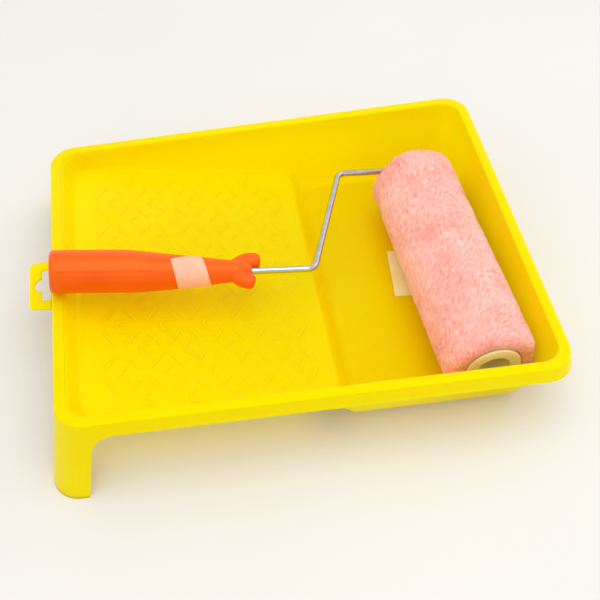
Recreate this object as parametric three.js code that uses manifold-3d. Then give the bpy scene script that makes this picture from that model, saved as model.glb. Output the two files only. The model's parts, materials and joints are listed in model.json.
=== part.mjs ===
// A paint roller tray with its roller lying in it, in millimetres with +Z up.
// +X runs from the shallow end of the tray to the deep end, and +Y to its back.
// The origin is on the surface that the tray stands on, under the middle of the set.

import * as THREE from 'three';
import { mergeVertices } from 'three/addons/utils/BufferGeometryUtils.js';
import Module from 'manifold-3d';

const wasm = await Module();
wasm.setup();

// Tray: one thin plastic moulding
const RIM_LENGTH = 350; // outer edge of the rim, end to end
const RIM_WIDTH_SHALLOW = 267.5; // outer edge of the rim, across the shallow end
const RIM_WIDTH_DEEP = 287.5; // outer edge of the rim, across the deep end
const RIM_HEIGHT = 62; // top of the rim above the surface
const RIM_BAND = 8; // flat top of the rim
const RIM_CORNER_RADIUS = 19.5;
const SKIN = 2; // thickness of the moulding
const LIP_DROP = 11; // lip that hangs from the rim's outer edge
const END_SPLAY = 0.2; // outward run of the lip and the legs for each mm down, at the ends
const SIDE_SPLAY = 0.29; // the same along the sides
const WALL_DRAFT = 0.23; // inward run of the well's walls for each mm down
const SHALLOW_WALL_DRAFT = 0.58; // the same for the wall at the shallow end
const WELL_CORNER_RADIUS = 14;
const WELL_EDGE_RADIUS = 10; // round edge between the walls and the well floor
const WELL_EDGE_SQUASH = 0.8; // its reach across the floor for each mm that it climbs the wall
const RAMP_TOP = { x: -154, depth: 15.5 }; // where the ramp starts, below the rim
const RAMP_FOOT = { x: 20, depth: 43.5 }; // where it breaks down to the well
const STEP_FOOT_X = 29; // foot of the step, on the well floor
const LEG_WIDTH = 24.5; // each flange of a corner leg
const LEG_FILLET = 13; // curve between a leg and the lip
const EDGE_EASE = 1; // rounded-off outer edge of the rim

// Hanging tab on the lip at the shallow end
const TAB_REACH = 17.5; // beyond the rim's outer edge
const TAB_ROOT_WIDTH = 47;
const TAB_END_WIDTH = 43;
const TAB_CORNER = 3;
const TAB_Y = -2;
const SLOT_LENGTH = 30;
const SLOT_REACH = 9; // straight part of the slot, beyond the rim's outer edge
const SLOT_BUMP_REACH = 14; // round part of the slot
const SLOT_BUMP_RADIUS = 7;

// Roller sleeve
const CORE_LENGTH = 200;
const CORE_RADIUS = 20.5;
const CORE_WALL = 1.5;
const PILE_LENGTH = 190;
const PILE_RADIUS = 32.3; // of the firm pile
const PILE_FLUFF = 2.2; // loose hair beyond it, which touches the well floor
const PILE_EDGE_RADIUS = 11;
const PLUG_FLANGE = 2;
const PLUG_EYE_RADIUS = 12; // round recess in the end of a plug
const PLUG_RECESS = 14; // depth of that recess
const PLUG_WEB = 2.5;
const HUB_RADIUS = 6;
const HUB_LENGTH = 8;

// Roller frame, laid out flat with the sleeve's axis as its Y axis
const WIRE_RADIUS = 2.5;
const WIRE_BEND_RADIUS = 8;
const HANDLE_BUTT = [-295.6, 22.5];
const FIRST_BEND = [-105, 6.2];
const SECOND_BEND = [-60.7, 106.6];
const WIRE_START = 60; // where the wire starts inside the grip, from its butt
const GRIP_RADIUS = 15.5;
const GRIP_BELLY = 41; // the grip is straight from its butt to here
const GRIP_NECK = 126; // its waist
const NECK_RADIUS = 8;
const TAPER_POWER = 1.8; // how the radius falls from the belly to the waist
const BUTT_EASES = [[0, 3], [0.9, 1.2], [3, 0]]; // distance from the butt, and how far its edge tucks in
const FORK_SECTIONS = [[134, 8.4, 7.4], [141, 8, 5.5]]; // distance, half width and half height past the waist
const EAR_ROOT = [128, 3.5]; // distance from the butt, and from the wire
const EARS = [ // middle of each ear's end, and its radius
  { distance: 145, offset: 7.6, radius: 6.3 },
  { distance: 139.3, offset: -10.4, radius: 5.4 },
];
const BORE_END = 151; // the wire's hole in the grip runs out here
const COLLAR_RADIUS = 5;
const COLLAR_LENGTH = 4;
const NUT_RADIUS = 7;
const NUT_LENGTH = 3;

// Paper labels
const LABEL_THICKNESS = 0.3;
const FLOOR_LABEL = { length: 54, width: 48, x: 111.4, y: 4.1, turn: -5 };
// Distances from the butt, degrees from +Y, and how far the tape creeps along the grip as it goes round
const GRIP_LABEL = { start: 83, end: 107, from: 65, to: 290, creep: 6 };

// How the roller lies in the tray, from the middle of the rim's outline
const SLEEVE_CENTRE = [120.5, -20.5];
const SLEEVE_TURN = 3.05; // degrees about Z
const FRAME_TILT = 8.1; // degrees, from the sleeve up to the handle on the rim

const CLEARANCE = 0.3; // between pieces that touch
const BORE_RADIUS = WIRE_RADIUS + 0.4;
const ROUND_SIDES = 32;
const CORNER_STEPS = 8;
const FLOOR_TOP = SKIN;
const TRAY_X = (TAB_REACH - LIP_DROP * END_SPLAY) / 2; // centres the set on the origin
const degrees = THREE.MathUtils.degToRad;

// ---------------------------------------------------------------- solids

function toManifold(geometry) {
  const bare = geometry.clone();
  bare.deleteAttribute('normal');
  bare.deleteAttribute('uv');
  const merged = mergeVertices(bare, 1e-4);
  return new wasm.Manifold(new wasm.Mesh({
    numProp: 3,
    vertProperties: new Float32Array(merged.attributes.position.array),
    triVerts: new Uint32Array(merged.index.array),
  }));
}

function toGeometry(solid) {
  const mesh = solid.getMesh();
  const geometry = new THREE.BufferGeometry();
  geometry.setAttribute('position', new THREE.BufferAttribute(mesh.vertProperties, 3));
  geometry.setIndex(new THREE.BufferAttribute(mesh.triVerts, 1));
  geometry.computeVertexNormals();
  return geometry;
}

// Skins a list of closed rings, each with the same number of points, and caps both ends.
function loft(rings) {
  const sides = rings[0].length;
  const points = rings.flat();
  const faces = [];
  for (let ring = 0; ring + 1 < rings.length; ring += 1) {
    for (let side = 0; side < sides; side += 1) {
      const a = ring * sides + side;
      const b = ring * sides + (side + 1) % sides;
      faces.push(a, b, b + sides, a, b + sides, a + sides);
    }
  }
  for (const [ring, flip] of [[0, true], [rings.length - 1, false]]) {
    const middle = points.length;
    const centre = new THREE.Vector3();
    rings[ring].forEach((point) => centre.addScaledVector(point, 1 / sides));
    points.push(centre);
    for (let side = 0; side < sides; side += 1) {
      const a = ring * sides + side;
      const b = ring * sides + (side + 1) % sides;
      faces.push(middle, flip ? b : a, flip ? a : b);
    }
  }
  const geometry = new THREE.BufferGeometry().setFromPoints(points);
  geometry.setIndex(faces);
  return geometry;
}

// Extrudes an outline drawn in X and Z through the whole width of the tray.
function acrossTray(shape, reach = 400) {
  const geometry = new THREE.ExtrudeGeometry(shape, { depth: reach, bevelEnabled: false });
  return geometry.translate(0, 0, -reach / 2).rotateX(Math.PI / 2);
}

function lathe(profile, sides = ROUND_SIDES) {
  const points = profile.map(([radius, height]) => new THREE.Vector2(radius, height));
  points.push(points[0].clone());
  return new THREE.LatheGeometry(points, sides);
}

// ---------------------------------------------------------------- tray

// The rim's outline at a height, moved inward by a distance at the sides and at each end.
function rimOutline(height, inset, radius) {
  const left = -RIM_LENGTH / 2 + inset.shallow;
  const right = RIM_LENGTH / 2 - inset.deep;
  const taper = (RIM_WIDTH_DEEP - RIM_WIDTH_SHALLOW) / 2 / RIM_LENGTH;
  const slant = Math.atan(taper);
  const middleWidth = (RIM_WIDTH_SHALLOW + RIM_WIDTH_DEEP) / 4;
  const sideY = (x) => middleWidth + taper * x - (inset.side + radius) / Math.cos(slant);
  const corners = [
    [right - radius, -1, -Math.PI / 2 - slant, 0],
    [right - radius, 1, 0, Math.PI / 2 + slant],
    [left + radius, 1, Math.PI / 2 + slant, Math.PI],
    [left + radius, -1, Math.PI, Math.PI * 1.5 - slant],
  ];
  return corners.flatMap(([x, side, start, end]) => {
    const y = side * sideY(x);
    return Array.from({ length: CORNER_STEPS + 1 }, (_, step) => {
      const angle = start + (end - start) * step / CORNER_STEPS;
      return new THREE.Vector3(x + radius * Math.cos(angle), y + radius * Math.sin(angle), height);
    });
  });
}

// The well as a solid, from its rounded lower edge to above the rim. Growth thickens it outward.
function wellBody(floor, growth, top) {
  const ring = (height, tuck) => {
    const depth = Math.max(RIM_HEIGHT - height, 0);
    const wall = RIM_BAND - growth + WALL_DRAFT * depth + tuck;
    const shallow = RIM_BAND - growth + SHALLOW_WALL_DRAFT * depth;
    return rimOutline(height, { side: wall, deep: wall, shallow }, WELL_CORNER_RADIUS);
  };
  const radius = WELL_EDGE_RADIUS + growth;
  const rings = [];
  for (let step = 0; step <= 4; step += 1) {
    const angle = Math.PI / 2 * step / 4;
    const height = floor + radius * (1 - Math.cos(angle));
    rings.push(ring(height, radius * (1 - Math.sin(angle)) * WELL_EDGE_SQUASH));
  }
  rings.push(ring(RIM_HEIGHT, 0));
  rings.push(ring(top, 0));
  return toManifold(loft(rings));
}

// Everything below the ramp and the step, which is not part of the well.
function belowRamp(drop) {
  const slope = (RAMP_FOOT.depth - RAMP_TOP.depth) / (RAMP_FOOT.x - RAMP_TOP.x);
  const far = -RIM_LENGTH;
  const shape = new THREE.Shape();
  shape.moveTo(far, RIM_HEIGHT - RAMP_TOP.depth - slope * (far - RAMP_TOP.x) - drop);
  shape.lineTo(RAMP_FOOT.x - drop / 2, RIM_HEIGHT - RAMP_FOOT.depth - drop);
  shape.lineTo(STEP_FOOT_X - drop, -RIM_HEIGHT / 2);
  shape.lineTo(far, -RIM_HEIGHT / 2);
  return toManifold(acrossTray(shape));
}

// A solid that spreads downward with the lip's splay, with an eased top edge.
function splayedBody(top, bottom, inset, ease) {
  const ring = (height, tuck) => {
    const depth = RIM_HEIGHT - height;
    const end = inset + tuck - END_SPLAY * depth;
    return rimOutline(height, { side: inset + tuck - SIDE_SPLAY * depth, deep: end, shallow: end },
      RIM_CORNER_RADIUS - inset);
  };
  const rings = [ring(bottom, 0), ring(top - ease, 0)];
  if (ease > 0) rings.push(ring(top, ease));
  return toManifold(loft(rings));
}

// One flange of a leg: everything on the outer side of its leaning free edge,
// with a fillet where it meets the lip.
function legOutline(outerEdge, splay) {
  const outside = -2 * RIM_LENGTH;
  const lipFoot = RIM_HEIGHT - LIP_DROP;
  const filletFoot = lipFoot - LEG_FILLET;
  const edgeAt = (height) => outerEdge - splay * (RIM_HEIGHT - height) + LEG_WIDTH;
  const centreX = edgeAt(filletFoot) + LEG_FILLET;
  const shape = new THREE.Shape();
  shape.moveTo(outside, -2);
  shape.lineTo(edgeAt(-2), -2);
  shape.absarc(centreX, filletFoot, LEG_FILLET, Math.PI, Math.PI / 2, true);
  shape.lineTo(centreX, lipFoot + 3);
  shape.lineTo(outside, lipFoot + 3);
  return shape;
}

// The rim with its lip, and the two corner legs below the lip.
function rimAndLegs() {
  const lipFoot = RIM_HEIGHT - LIP_DROP;
  const rim = splayedBody(RIM_HEIGHT, lipFoot, 0, EDGE_EASE)
    .subtract(splayedBody(RIM_HEIGHT - SKIN, lipFoot - 1, SKIN, 0));
  const legBand = splayedBody(lipFoot + 1, 0, 0, 0)
    .subtract(splayedBody(lipFoot + 2, -1, SKIN, 0));
  const endFlange = acrossTray(legOutline(-RIM_LENGTH / 2, END_SPLAY));
  const sideFlange = acrossTray(legOutline(-RIM_WIDTH_SHALLOW / 2, SIDE_SPLAY)).rotateZ(Math.PI / 2);
  const frontCorner = toManifold(endFlange).intersect(toManifold(sideFlange));
  const backCorner = frontCorner.mirror([0, 1, 0]);
  return rim.add(legBand.intersect(frontCorner)).add(legBand.intersect(backCorner));
}

function hangingTab() {
  const edge = -RIM_LENGTH / 2;
  const root = edge + 1;
  const end = edge - TAB_REACH;
  const tab = new THREE.Shape();
  tab.moveTo(root, -TAB_ROOT_WIDTH / 2);
  tab.lineTo(root, TAB_ROOT_WIDTH / 2);
  tab.lineTo(end + TAB_CORNER, TAB_END_WIDTH / 2);
  tab.lineTo(end, TAB_END_WIDTH / 2 - TAB_CORNER);
  tab.lineTo(end, TAB_CORNER - TAB_END_WIDTH / 2);
  tab.lineTo(end + TAB_CORNER, -TAB_END_WIDTH / 2);
  const slot = new THREE.Path();
  const slotRoot = edge - LIP_DROP * END_SPLAY;
  const slotEdge = edge - SLOT_REACH;
  const bumpX = edge - SLOT_BUMP_REACH + SLOT_BUMP_RADIUS;
  const spread = Math.acos((bumpX - slotEdge) / SLOT_BUMP_RADIUS);
  slot.moveTo(slotRoot, -SLOT_LENGTH / 2);
  slot.lineTo(slotEdge, -SLOT_LENGTH / 2);
  slot.absarc(bumpX, 0, SLOT_BUMP_RADIUS, Math.PI + spread, Math.PI - spread, true);
  slot.lineTo(slotEdge, SLOT_LENGTH / 2);
  slot.lineTo(slotRoot, SLOT_LENGTH / 2);
  tab.holes.push(slot);
  const plate = new THREE.ExtrudeGeometry(tab, { depth: SKIN, bevelEnabled: false, curveSegments: 6 });
  return toManifold(plate.translate(0, TAB_Y, RIM_HEIGHT - LIP_DROP));
}

function trayShell() {
  const well = wellBody(0, SKIN, RIM_HEIGHT - EDGE_EASE).subtract(belowRamp(SKIN));
  const hollow = wellBody(FLOOR_TOP, 0, RIM_HEIGHT + 5).subtract(belowRamp(0));
  return toGeometry(rimAndLegs().add(hangingTab()).add(well).subtract(hollow));
}

function floorLabel() {
  const { length, width } = FLOOR_LABEL;
  return new THREE.BoxGeometry(length, width, LABEL_THICKNESS);
}

// ---------------------------------------------------------------- sleeve

// Every turned piece is drawn about +Y, with its outer end at -Y.
function coreTube() {
  const half = CORE_LENGTH / 2 - PLUG_FLANGE - CLEARANCE;
  const inner = CORE_RADIUS - CORE_WALL;
  return lathe([[inner, -half], [CORE_RADIUS, -half], [CORE_RADIUS, half], [inner, half]]);
}

function fleeceCover() {
  const half = PILE_LENGTH / 2;
  const inner = CORE_RADIUS + CLEARANCE;
  const profile = [[inner, -half]];
  for (const end of [-1, 1]) {
    for (let step = 0; step <= 4; step += 1) {
      const angle = Math.PI / 2 * (end < 0 ? step : 4 - step) / 4;
      const radius = PILE_RADIUS - PILE_EDGE_RADIUS * (1 - Math.sin(angle));
      profile.push([radius, end * (half - PILE_EDGE_RADIUS * (1 - Math.cos(angle)))]);
    }
  }
  profile.push([inner, half]);
  return lathe(profile);
}

// A stepped plug: flange, spigot, recessed web and the hub that runs on the wire.
function endPlug() {
  const face = -CORE_LENGTH / 2;
  const shoulder = face + PLUG_FLANGE;
  const spigot = CORE_RADIUS - CORE_WALL - CLEARANCE;
  const web = face + PLUG_RECESS;
  const hubStart = web - HUB_LENGTH / 4;
  const hubEnd = hubStart + HUB_LENGTH;
  return lathe([
    [PLUG_EYE_RADIUS, face],
    [CORE_RADIUS, face],
    [CORE_RADIUS, shoulder],
    [spigot, shoulder],
    [spigot, web + PLUG_WEB],
    [HUB_RADIUS, web + PLUG_WEB],
    [HUB_RADIUS, hubEnd],
    [BORE_RADIUS, hubEnd],
    [BORE_RADIUS, hubStart],
    [HUB_RADIUS, hubStart],
    [HUB_RADIUS, web],
    [PLUG_EYE_RADIUS, web],
  ]);
}

// ---------------------------------------------------------------- roller frame

// A flat route of straight runs joined by arcs, with one station at each end of an arc step.
class WireRoute extends THREE.Curve {
  constructor(corners, bendRadius, arcSteps) {
    super();
    this.stations = [];
    this.headings = [];
    for (let index = 0; index < corners.length; index += 1) {
      const corner = corners[index];
      const before = corners[index - 1];
      const after = corners[index + 1];
      if (before && after) this.addBend(before, corner, after, bendRadius, arcSteps);
      else this.addStation(corner, before ? corner.clone().sub(before) : after.clone().sub(corner));
    }
  }

  addStation(point, heading) {
    this.stations.push(new THREE.Vector3(point.x, point.y, 0));
    this.headings.push(new THREE.Vector3(heading.x, heading.y, 0).normalize());
  }

  addBend(before, corner, after, radius, arcSteps) {
    const arriving = corner.clone().sub(before).normalize();
    const leaving = after.clone().sub(corner).normalize();
    const turn = Math.atan2(arriving.cross(leaving), arriving.dot(leaving));
    const start = corner.clone().addScaledVector(arriving, -radius * Math.tan(Math.abs(turn) / 2));
    const side = new THREE.Vector2(-arriving.y, arriving.x).multiplyScalar(Math.sign(turn) * radius);
    const centre = start.clone().add(side);
    for (let step = 0; step <= arcSteps; step += 1) {
      const angle = turn * step / arcSteps;
      const point = start.clone().rotateAround(centre, angle);
      this.addStation(point, arriving.clone().rotateAround(new THREE.Vector2(), angle));
    }
  }

  getPointAt(part) {
    return this.stations[Math.round(part * (this.stations.length - 1))].clone();
  }

  getTangentAt(part) {
    return this.headings[Math.round(part * (this.stations.length - 1))].clone();
  }

  getPoint(part) {
    return this.getPointAt(part);
  }
}

const thirdBend = new THREE.Vector2(0, SECOND_BEND[1]);
const hubFace = CORE_LENGTH / 2 - PLUG_RECESS + HUB_LENGTH / 4; // outer face of a hub
const wireEnd = -hubFace - NUT_LENGTH - 2;
const butt = new THREE.Vector2(...HANDLE_BUTT);
const firstBend = new THREE.Vector2(...FIRST_BEND);
const handleHeading = firstBend.clone().sub(butt).normalize();

function wireFrame() {
  const start = butt.clone().addScaledVector(handleHeading, WIRE_START);
  const corners = [start, firstBend, new THREE.Vector2(...SECOND_BEND), thirdBend,
    new THREE.Vector2(0, wireEnd)];
  const route = new WireRoute(corners, WIRE_BEND_RADIUS, 6);
  const section = new THREE.Shape();
  section.absarc(0, 0, WIRE_RADIUS, 0, Math.PI * 2);
  return new THREE.ExtrudeGeometry(section, {
    steps: route.stations.length - 1,
    extrudePath: route,
    curveSegments: 12,
    bevelEnabled: false,
  });
}

function stopCollar() {
  const start = hubFace + CLEARANCE;
  const inner = WIRE_RADIUS + CLEARANCE;
  const end = start + COLLAR_LENGTH;
  return lathe([[inner, start], [COLLAR_RADIUS, start], [COLLAR_RADIUS, end], [inner, end]], 24);
}

function axlePushNut() {
  const start = -hubFace - CLEARANCE;
  const inner = WIRE_RADIUS + CLEARANCE;
  const end = start - NUT_LENGTH;
  return lathe([
    [inner, end],
    [NUT_RADIUS - 2, end],
    [NUT_RADIUS, start - 1],
    [NUT_RADIUS, start],
    [inner, start],
  ], 24);
}

// Radius of the grip at a distance from its butt.
function gripRadius(distance) {
  const part = THREE.MathUtils.clamp((distance - GRIP_BELLY) / (GRIP_NECK - GRIP_BELLY), 0, 1);
  return GRIP_RADIUS - (GRIP_RADIUS - NECK_RADIUS) * part ** TAPER_POWER;
}

function gripSection(distance, width, height, sides) {
  return Array.from({ length: sides }, (_, side) => {
    const angle = Math.PI * 2 * side / sides;
    return new THREE.Vector3(distance, width * Math.cos(angle), height * Math.sin(angle));
  });
}

// Turned body with a rounded butt, a waist, and two ears that flare beside the wire.
function handleGrip() {
  const rings = BUTT_EASES.map(([distance, ease]) => {
    const radius = GRIP_RADIUS - ease;
    return gripSection(distance, radius, radius, ROUND_SIDES);
  });
  const taperSteps = 10;
  for (let step = 0; step <= taperSteps; step += 1) {
    const distance = GRIP_BELLY + (GRIP_NECK - GRIP_BELLY) * step / taperSteps;
    const radius = gripRadius(distance);
    rings.push(gripSection(distance, radius, radius, ROUND_SIDES));
  }
  FORK_SECTIONS.forEach((section) => rings.push(gripSection(...section, ROUND_SIDES)));
  let grip = toManifold(loft(rings));
  for (const ear of EARS) {
    grip = grip.add(toManifold(gripEar(ear)));
  }
  const boreLength = BORE_END - WIRE_START + 1;
  const bore = new THREE.CylinderGeometry(BORE_RADIUS, BORE_RADIUS, boreLength, 24);
  bore.rotateZ(Math.PI / 2);
  bore.translate(BORE_END - boreLength / 2, 0, 0);
  return toGeometry(grip.subtract(toManifold(bore)));
}

function gripEar({ distance, offset, radius }) {
  const [rootDistance, rootOffset] = EAR_ROOT;
  const start = new THREE.Vector3(rootDistance, Math.sign(offset) * rootOffset, 0);
  const end = new THREE.Vector3(distance, offset, 0);
  const run = end.clone().sub(start);
  const ear = new THREE.CapsuleGeometry(radius, run.length(), 5, 20);
  const turn = new THREE.Quaternion().setFromUnitVectors(new THREE.Vector3(0, 1, 0), run.normalize());
  ear.applyQuaternion(turn);
  return ear.translate(...start.add(end).multiplyScalar(0.5).toArray());
}

// A strip of tape around part of the grip, following its taper.
function gripLabel() {
  const { start, end, from, to, creep } = GRIP_LABEL;
  const steps = 24;
  const arc = (distance, lift, backwards) => Array.from({ length: steps + 1 }, (_, step) => {
    const part = (backwards ? steps - step : step) / steps;
    const angle = degrees(from + (to - from) * part);
    const x = distance + creep * part;
    const radius = gripRadius(x) + lift;
    return new THREE.Vector3(x, radius * Math.cos(angle), radius * Math.sin(angle));
  });
  const rings = [0, 1, 2, 3].map((step) => {
    const distance = start + (end - start) * step / 3;
    return [...arc(distance, CLEARANCE + LABEL_THICKNESS, false), ...arc(distance, CLEARANCE, true)];
  });
  return stripSolid(rings, steps);
}

// Skins rings whose second half runs back along the first, and closes the ends with strips.
function stripSolid(rings, steps) {
  const sides = rings[0].length;
  const faces = [];
  for (let ring = 0; ring + 1 < rings.length; ring += 1) {
    for (let side = 0; side < sides; side += 1) {
      const a = ring * sides + side;
      const b = ring * sides + (side + 1) % sides;
      faces.push(a, b, b + sides, a, b + sides, a + sides);
    }
  }
  const last = (rings.length - 1) * sides;
  for (let step = 0; step < steps; step += 1) {
    const a = step;
    const b = step + 1;
    const c = sides - 2 - step;
    const d = sides - 1 - step;
    faces.push(a, c, b, a, d, c);
    faces.push(last + a, last + b, last + c, last + a, last + c, last + d);
  }
  const geometry = new THREE.BufferGeometry().setFromPoints(rings.flat());
  geometry.setIndex(faces);
  return geometry;
}

// ---------------------------------------------------------------- assembly

const materials = {
  yellowPlastic: { color: '#ffe000', roughness: 0.3, metalness: 0 },
  paper: { color: '#f4e3d0', roughness: 0.8, metalness: 0 },
  orangePlastic: { color: '#fb6a1c', roughness: 0.35, metalness: 0 },
  platedSteel: { color: '#c4c4ca', roughness: 0.2, metalness: 1 },
  creamPlastic: { color: '#efe3bd', roughness: 0.5, metalness: 0 },
  fleece: { color: '#fdb3a8', roughness: 1, metalness: 0 },
};

function piece(name, geometry, material) {
  const mesh = new THREE.Mesh(geometry, new THREE.MeshStandardMaterial(materials[material]));
  mesh.name = name;
  return mesh;
}

const set = new THREE.Group();

const tray = new THREE.Group();
tray.position.x = TRAY_X;
tray.add(piece('tray_shell', trayShell(), 'yellowPlastic'));
const floorSticker = piece('floor_label', floorLabel(), 'paper');
floorSticker.position.set(FLOOR_LABEL.x, FLOOR_LABEL.y, FLOOR_TOP + CLEARANCE + LABEL_THICKNESS / 2);
floorSticker.rotation.z = degrees(FLOOR_LABEL.turn);
tray.add(floorSticker);
set.add(tray);

// The sleeve lies on the label, and the frame tilts about its axis.
const sleeveHeight = FLOOR_TOP + LABEL_THICKNESS + 2 * CLEARANCE + PILE_RADIUS + PILE_FLUFF;
const roller = new THREE.Group();
roller.position.set(TRAY_X + SLEEVE_CENTRE[0], SLEEVE_CENTRE[1], sleeveHeight);
roller.rotation.set(0, degrees(FRAME_TILT), degrees(SLEEVE_TURN), 'ZYX');
set.add(roller);

roller.add(piece('core_tube', coreTube(), 'creamPlastic'));
roller.add(piece('fleece_cover', fleeceCover(), 'fleece'));
roller.add(piece('outer_end_plug', endPlug(), 'creamPlastic'));
const innerPlug = piece('inner_end_plug', endPlug(), 'creamPlastic');
innerPlug.rotation.z = Math.PI;
roller.add(innerPlug);
roller.add(piece('wire_frame', wireFrame(), 'platedSteel'));
roller.add(piece('stop_collar', stopCollar(), 'platedSteel'));
roller.add(piece('axle_push_nut', axlePushNut(), 'platedSteel'));

const handle = new THREE.Group();
handle.position.set(butt.x, butt.y, 0);
handle.rotation.z = handleHeading.angle();
handle.add(piece('handle_grip', handleGrip(), 'orangePlastic'));
handle.add(piece('handle_label', gripLabel(), 'paper'));
roller.add(handle);

export default set;
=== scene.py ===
"""Looks for a yellow paint tray and its roller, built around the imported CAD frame.

Shapes are worked out in millimetres and placed in metres. The tray is drawn from the middle of its
rim's top, and the roller from the middle of its sleeve, with the sleeve's axis along Y.
"""

import json
import math

import bmesh
import bpy
import numpy as np
from mathutils import Matrix, Vector, noise


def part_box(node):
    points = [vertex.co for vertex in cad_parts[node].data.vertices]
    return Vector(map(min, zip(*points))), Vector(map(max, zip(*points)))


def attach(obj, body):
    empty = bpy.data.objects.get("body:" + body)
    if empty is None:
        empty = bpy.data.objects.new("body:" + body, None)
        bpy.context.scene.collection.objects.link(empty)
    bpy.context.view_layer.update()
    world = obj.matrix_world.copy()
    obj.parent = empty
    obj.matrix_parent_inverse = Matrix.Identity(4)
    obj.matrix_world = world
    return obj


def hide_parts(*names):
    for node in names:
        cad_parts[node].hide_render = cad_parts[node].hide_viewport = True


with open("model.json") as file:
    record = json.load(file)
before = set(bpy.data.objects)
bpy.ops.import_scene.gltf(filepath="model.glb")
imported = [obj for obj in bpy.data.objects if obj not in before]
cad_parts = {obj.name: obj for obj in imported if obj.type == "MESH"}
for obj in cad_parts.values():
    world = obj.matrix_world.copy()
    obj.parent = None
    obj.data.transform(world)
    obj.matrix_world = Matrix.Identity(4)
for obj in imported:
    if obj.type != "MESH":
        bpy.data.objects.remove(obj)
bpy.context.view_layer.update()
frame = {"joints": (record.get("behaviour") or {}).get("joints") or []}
MM = 0.001

# ---- sizes, in millimetres

RIM_LENGTH = 350
RIM_HALF_WIDTH = 138.75  # at the middle of its length
RIM_TAPER = 20 / 700  # gain of half width along X
RIM_SLANT = math.atan(RIM_TAPER)
RIM_HEIGHT = 62
RIM_BAND = 8
RIM_CORNER_RADIUS = 19.5
RIM_EDGE_RADIUS = 1.5
SKIN = 2
LIP_DROP = 11
END_SPLAY = 0.2
SIDE_SPLAY = 0.29
WALL_DRAFT = 0.23
SHALLOW_WALL_DRAFT = 0.58
WELL_CORNER_RADIUS = 14
RAMP_TOP = (-154, 15.5)  # X, and depth below the rim
RAMP_FOOT = (20, 43.5)
STEP_FOOT = (29, 60)
LEG_STRAIGHT = 5.5
LEG_FILLET = 13
TAB_REACH = 17.5  # beyond the rim's edge

CORE_LENGTH = 200
CORE_RADIUS = 20.5
PILE_ENDS = (-99.5, 98)
PILE_RADIUS = 34.2
PILE_END_RADII = (7, 8)
PILE_EASE = 33.6  # from here outward the pile is pressed in, ever more
PILE_LIMIT = 34.8  # no hair stands further from the axis

WIRE_RADIUS = 2.5
WIRE_BEND_RADIUS = 8
HANDLE_BUTT = (-295.6, 22.5)
FIRST_BEND = (-105, 6.2)
SECOND_BEND = (-60.7, 106.6)
WIRE_START = 60
WIRE_SAG = 4.5  # at its start, inside the grip
GRIP_RADIUS = 15.5
GRIP_BELLY = 54
GRIP_NECK = 128
NECK_RADIUS = 8.3
GRIP_SAG = 1.6
FRAME_TILT = 8.1  # degrees

# ---- placing

TRAY_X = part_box("tray_shell")[0].x + (RIM_LENGTH / 2 + TAB_REACH) * MM
TRAY_PLACE = Matrix.Translation((TRAY_X, 0, RIM_HEIGHT * MM))
SPIN_JOINT = next(joint for joint in frame["joints"] if joint["name"] == "roller_spin")
SLEEVE_AXIS = Vector(SPIN_JOINT["axis"])
ROLLER_PLACE = (
    Matrix.Translation(SPIN_JOINT["pos_m"])
    @ Matrix.Rotation(math.atan2(-SLEEVE_AXIS.x, SLEEVE_AXIS.y), 4, "Z")
    @ Matrix.Rotation(math.radians(FRAME_TILT), 4, "Y")
)
HANDLE_RUN = Vector(FIRST_BEND) - Vector(HANDLE_BUTT)
HANDLE_PLACE = (
    ROLLER_PLACE
    @ Matrix.Translation((HANDLE_BUTT[0] * MM, HANDLE_BUTT[1] * MM, 0))
    @ Matrix.Rotation(math.atan2(HANDLE_RUN.y, HANDLE_RUN.x), 4, "Z")
)

# ---- meshes

SHARP_ANGLE = math.radians(40)  # an edge with a wider turn is shaded sharp
MOST_ROUNDED = 0.45  # part of a profile's side that the rounding of one end takes at most


def new_object(name, points, faces, place):
    """A smooth mesh object from points in millimetres, moved to its place in metres."""
    mesh = bpy.data.meshes.new(name)
    matrix = np.array(place)
    placed = np.asarray(points, float) * MM @ matrix[:3, :3].T + matrix[:3, 3]
    mesh.from_pydata(placed.tolist(), [], faces)
    mesh.shade_smooth()
    mesh.update()
    made = bpy.data.objects.new(name, mesh)
    bpy.context.scene.collection.objects.link(made)
    return made


def finish_piece(piece, material, body, node):
    """Gives a piece its material and the body that it rides on, and hides the CAD node that it stands
    for.
    """
    piece.data.materials.append(material)
    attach(piece, body)
    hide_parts(node)


def keep_modifiers(piece):
    """Puts the result of the object's modifiers in its mesh."""
    depsgraph = bpy.context.evaluated_depsgraph_get()
    piece.data = bpy.data.meshes.new_from_object(piece.evaluated_get(depsgraph))
    piece.modifiers.clear()


def add_bevel(piece, width):
    bevel = piece.modifiers.new("bevel", "BEVEL")
    bevel.width = width * MM
    bevel.segments = 2
    bevel.limit_method = "ANGLE"
    bevel.angle_limit = math.radians(50)


def add_thickness(piece, thickness, offset):
    """Thickens a sheet behind its faces when the offset is -1, and before them when it is 1."""
    skin = piece.modifiers.new("skin", "SOLIDIFY")
    skin.thickness = thickness * MM
    skin.offset = offset
    return skin


def grid_faces(rows, columns, closed=False, flip=False):
    """Quads over rows of points. The columns join up again when closed."""
    faces = []
    for row in range(rows - 1):
        for column in range(columns if closed else columns - 1):
            after = (column + 1) % columns
            here, there = row * columns, (row + 1) * columns
            quad = (here + column, here + after, there + after, there + column)
            faces.append(quad[::-1] if flip else quad)
    return faces


def tube_faces(rows, sides, flip=False):
    """Quads over closed rings of points, and a cap on the first ring and on the last."""
    last = (rows - 1) * sides
    first_cap = tuple(range(sides))
    last_cap = tuple(range(last, last + sides))
    caps = [first_cap, last_cap[::-1]] if flip else [first_cap[::-1], last_cap]
    return grid_faces(rows, sides, closed=True, flip=flip) + caps


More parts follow.
